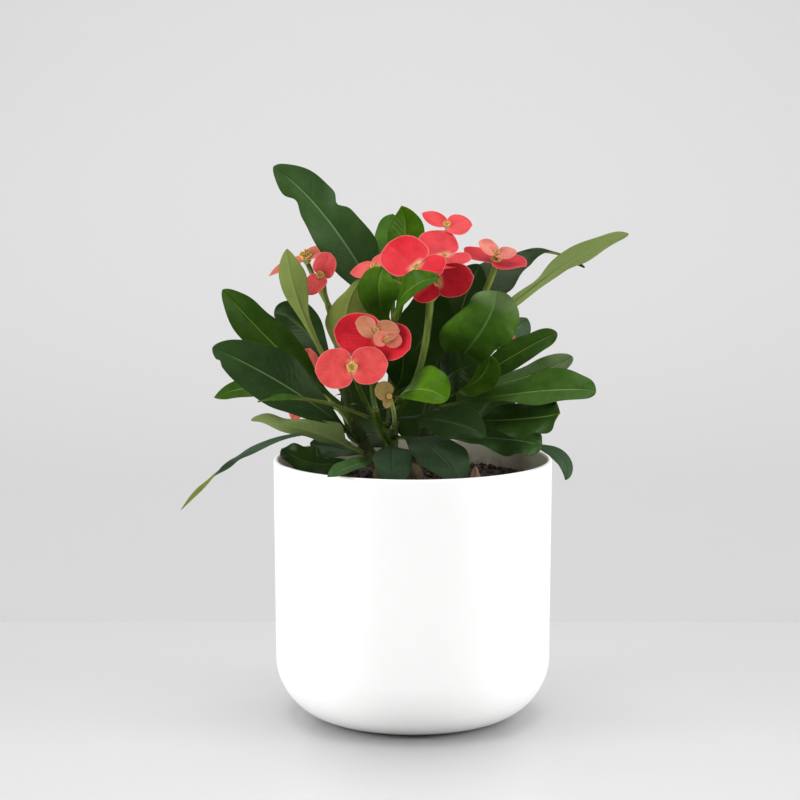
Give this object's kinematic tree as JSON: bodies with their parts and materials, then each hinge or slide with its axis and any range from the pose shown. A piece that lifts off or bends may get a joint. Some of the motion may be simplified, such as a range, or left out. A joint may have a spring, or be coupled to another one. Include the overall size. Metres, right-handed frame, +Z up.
{
  "type": "potted crown of thorns plant",
  "caption": "Flowering succulent shrub with long leathery leaves and red paired bracts, growing in a plain white rounded pot with soil.",
  "frame": {"origin": "middle of the pot's underside, where it rests", "axes": "+Z up; -Y is the side the flowers face; +X is to the right seen from that side"},
  "size_m": [0.248, 0.152, 0.3017],
  "materials": {
    "pot": "matt white, unglazed look",
    "soil": "rough crumbly potting soil",
    "bark_chip": "rough tan bark",
    "stem": "woody brown foot, greener young wood above, thorns",
    "leaf": "leathery, half gloss, pale midrib",
    "stalk": "smooth yellow green",
    "flower": "satin red bracts with paler rims and a cream throat"
  },
  "bodies": {
    "root": {"pot": "pot", "soil": "soil", "bark_chip": "bark_chip", "stem": "stem", "leaf_01": "leaf", "leaf_02": "leaf", "leaf_03": "leaf", "leaf_04": "leaf", "leaf_05": "leaf", "leaf_06": "leaf", "leaf_07": "leaf", "leaf_08": "leaf", "leaf_09": "leaf", "leaf_10": "leaf", "leaf_11": "leaf", "leaf_12": "leaf", "leaf_13": "leaf", "leaf_14": "leaf", "leaf_15": "leaf", "leaf_16": "leaf", "leaf_17": "leaf", "leaf_18": "leaf", "leaf_19": "leaf", "leaf_20": "leaf", "leaf_21": "leaf", "leaf_22": "leaf", "leaf_23": "leaf", "leaf_24": "leaf", "leaf_25": "leaf", "leaf_26": "leaf", "leaf_27": "leaf", "leaf_28": "leaf", "leaf_29": "leaf", "leaf_30": "leaf", "leaf_31": "leaf", "leaf_32": "leaf", "leaf_33": "leaf", "leaf_34": "leaf", "leaf_35": "leaf", "leaf_36": "leaf", "leaf_37": "leaf", "leaf_38": "leaf", "leaf_39": "leaf", "stalk_front": "stalk", "stalk_top": "stalk", "stalk_right": "stalk", "stalk_left": "stalk", "flower_01": "flower", "flower_02": "flower", "flower_03": "flower", "flower_04": "flower", "flower_05": "flower", "flower_06": "flower", "flower_07": "flower", "flower_08": "flower", "flower_09": "flower", "flower_10": "flower", "flower_11": "flower", "flower_12": "flower", "flower_13": "flower"}
  },
  "joints": []
}
